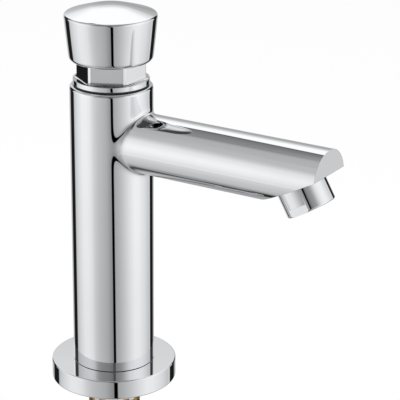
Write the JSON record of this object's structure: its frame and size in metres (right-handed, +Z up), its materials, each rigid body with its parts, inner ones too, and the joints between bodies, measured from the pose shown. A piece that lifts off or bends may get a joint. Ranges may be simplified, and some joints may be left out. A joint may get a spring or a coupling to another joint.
{
  "type": "push timed tap",
  "caption": "Deck-mounted self-closing basin tap: round column, fixed straight spout with angled outlet, domed push button that springs back, threaded shank with clamp.",
  "frame": {"origin": "on the column's axis, in the plane of the deck that the base flange stands on", "axes": "+Z up along the column, +X along the spout, +Y to the left of the spout"},
  "size_m": [0.1276, 0.0524, 0.2171],
  "materials": {
    "chrome_body": "polished chrome on brass",
    "chrome_button": "polished chrome on brass",
    "brass": "turned, bare",
    "steel": "stainless, satin",
    "rubber": "matt black",
    "white_plastic": "acetal, matt",
    "green_plastic": "moulded, matt"
  },
  "bodies": {
    "tap": {"body": "chrome_body", "base_flange": "chrome_body", "base_gasket": "rubber", "inlet_shank": "brass", "shank_seal": "rubber", "inlet_strainer": "steel", "deck_bush": "white_plastic", "deck_washer": "rubber", "metal_washer": "steel", "backnut": "brass", "outlet_housing": "chrome_body", "jet_former": "white_plastic", "jet_screen": "steel", "flow_regulator": "green_plastic", "outlet_seal": "rubber", "bonnet_nut": "chrome_body", "bonnet_gasket": "rubber", "stem_bush": "white_plastic", "stem_oring": "rubber", "timing_sleeve": "brass", "sleeve_gasket": "rubber", "bleed_jet": "brass", "valve_cage": "white_plastic", "cage_oring": "rubber", "spring_washer": "steel", "return_spring": "steel"},
    "plunger": {"push_button": "chrome_button", "button_locknut": "brass", "stem": "steel", "lip_seal": "rubber", "timing_piston": "white_plastic", "piston_clip": "steel", "poppet_washer": "rubber", "poppet": "brass", "poppet_nut": "steel"}
  },
  "joints": [
    {"name": "button_press", "type": "slide", "parent": "tap", "child": "plunger", "axis": [0, 0, -1], "range_m": [0, 0.005], "stiffness_N_per_m": 1500, "springref_m": -0.008, "deforming": ["return_spring"]}
  ]
}
